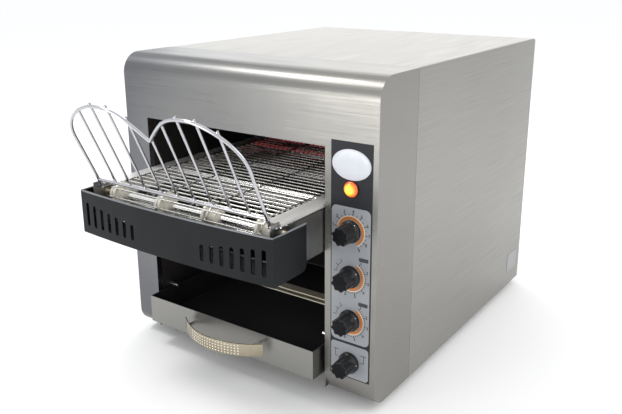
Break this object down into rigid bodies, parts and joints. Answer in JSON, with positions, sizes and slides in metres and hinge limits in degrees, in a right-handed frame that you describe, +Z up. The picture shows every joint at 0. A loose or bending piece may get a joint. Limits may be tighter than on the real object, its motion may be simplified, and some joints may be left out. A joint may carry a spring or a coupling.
{
  "type": "conveyor toaster",
  "caption": "Countertop conveyor toaster: steel casing with a front opening, wire belt over rollers, leaning wire loading rack, slotted front guard, toast drawer, heater tubes and rotary knobs.",
  "frame": {"origin": "centre of the outline on the counter, under the rubber feet", "axes": "+Z up, front with the controls and the rack towards -Y, +X to the right of a person facing the front"},
  "size_m": [0.3683, 0.5977, 0.378],
  "materials": {
    "front_steel": "brushed, cool grey",
    "cover_steel": "satin",
    "inner_steel": "satin",
    "oven_steel": "heat stained, dull",
    "wool": "mineral wool mat",
    "foot_rubber": "matt",
    "quartz": "milky quartz",
    "quartz_lit": "glowing red",
    "ceramic": "glazed ceramic",
    "plate_steel": "satin",
    "rail_steel": "bright",
    "belt_steel": "bright wire",
    "shaft_steel": "polished",
    "hub_cream": "satin",
    "bush_brass": "satin",
    "chain_steel": "oiled",
    "gear_case": "cast",
    "motor_paint": "satin",
    "fan_plastic": "matt",
    "fan_wire": "bright",
    "guard_paint": "satin",
    "rack_chrome": "bright",
    "drawer_steel": "brushed",
    "handle_steel": "warm satin",
    "label_print": "satin",
    "badge_white": "gloss",
    "plate_print": "satin foil",
    "lamp_amber": "clear amber, lit",
    "lamp_case": "matt",
    "knob_black": "satin",
    "switch_case": "matt",
    "gland_black": "matt"
  },
  "bodies": {
    "cabinet": {"fascia": "front_steel", "wrap_cover": "cover_steel", "back_panel": "cover_steel", "base_plate": "inner_steel", "feet": "foot_rubber", "oven_wall_left": "oven_steel", "oven_wall_right": "oven_steel", "oven_roof": "oven_steel", "insulation": "wool", "rear_deflector": "oven_steel", "toast_slide": "inner_steel", "front_cross_rail": "inner_steel", "top_heaters": "quartz", "bottom_heaters": "quartz_lit", "heater_end_caps": "ceramic", "side_plate_left": "plate_steel", "side_plate_right": "plate_steel", "guide_rail_left": "rail_steel", "guide_rail_right": "rail_steel", "belt_top_run": "belt_steel", "belt_bottom_run": "belt_steel", "belt_front_turn": "belt_steel", "belt_rear_turn": "belt_steel", "belt_support_rods": "shaft_steel", "shaft_bushes": "bush_brass", "drive_chain": "chain_steel", "gearbox": "gear_case", "drive_motor": "motor_paint", "motor_bracket": "inner_steel", "fan_frame": "fan_plastic", "fan_guard": "fan_wire", "front_guard": "guard_paint", "guard_spacers": "rail_steel", "conveyor_bolts": "rail_steel", "drawer_runners": "inner_steel", "drawer_stop_pins": "rail_steel", "control_label": "label_print", "badge_plate": "badge_white", "lamp_lens": "lamp_amber", "lamp_body": "lamp_case", "control_bodies": "switch_case", "rating_plate": "plate_print", "cable_gland": "gland_black", "cover_screws": "rail_steel"},
    "rack": {"load_rack": "rack_chrome"},
    "drawer": {"drawer_pan": "drawer_steel", "drawer_handle": "handle_steel", "handle_posts": "rail_steel"},
    "front_roller": {"idler_shaft": "shaft_steel", "idler_sprockets": "hub_cream"},
    "drive_roller": {"drive_shaft": "shaft_steel", "drive_sprockets": "hub_cream", "driven_chain_wheel": "chain_steel"},
    "gear_output": {"gearbox_shaft": "shaft_steel", "motor_chain_wheel": "chain_steel"},
    "fan": {"fan_rotor": "fan_plastic"},
    "speed_dial": {"speed_knob": "knob_black"},
    "top_heat_dial": {"top_heat_knob": "knob_black"},
    "bottom_heat_dial": {"bottom_heat_knob": "knob_black"},
    "power_dial": {"power_knob": "knob_black"}
  },
  "joints": [
    {"name": "rack_tilt", "type": "hinge", "parent": "cabinet", "child": "rack", "pos_m": [-0.014, -0.24711, 0.2342], "axis": [-1, 0, 0], "range_deg": [0, 60]},
    {"name": "drawer_slide", "type": "slide", "parent": "cabinet", "child": "drawer", "axis": [0, -1, 0], "range_m": [-0.018, 0.245]},
    {"name": "drive_turn", "type": "hinge", "parent": "cabinet", "child": "drive_roller", "pos_m": [-0.014, 0.14589, 0.22378], "axis": [-1, 0, 0], "continuous": true, "deforming": ["belt_rear_turn", "drive_chain"]},
    {"name": "idler_turn", "type": "hinge", "parent": "cabinet", "child": "front_roller", "pos_m": [-0.014, -0.23211, 0.22378], "axis": [-1, 0, 0], "continuous": true, "deforming": ["belt_front_turn"]},
    {"name": "gearbox_turn", "type": "hinge", "parent": "cabinet", "child": "gear_output", "pos_m": [0.1322, 0.14589, 0.1316], "axis": [-1, 0, 0], "continuous": true},
    {"name": "fan_spin", "type": "hinge", "parent": "cabinet", "child": "fan", "pos_m": [0.1505, 0.27649, 0.128], "axis": [0, 1, 0], "continuous": true},
    {"name": "speed_knob_turn", "type": "hinge", "parent": "cabinet", "child": "speed_dial", "pos_m": [0.15225, -0.16211, 0.213], "axis": [0, 1, 0], "range_deg": [-138, 112]},
    {"name": "top_heat_knob_turn", "type": "hinge", "parent": "cabinet", "child": "top_heat_dial", "pos_m": [0.15225, -0.16211, 0.1615], "axis": [0, 1, 0], "range_deg": [-55, 215]},
    {"name": "bottom_heat_knob_turn", "type": "hinge", "parent": "cabinet", "child": "bottom_heat_dial", "pos_m": [0.15225, -0.16211, 0.11], "axis": [0, 1, 0], "range_deg": [-55, 215]},
    {"name": "power_knob_turn", "type": "hinge", "parent": "cabinet", "child": "power_dial", "pos_m": [0.15225, -0.16211, 0.0585], "axis": [0, 1, 0], "range_deg": [-168, 0]}
  ],
  "couplings": [
    {"joint": "idler_turn", "follows": "drive_turn", "ratio": 1},
    {"joint": "gearbox_turn", "follows": "drive_turn", "ratio": 1.5}
  ]
}
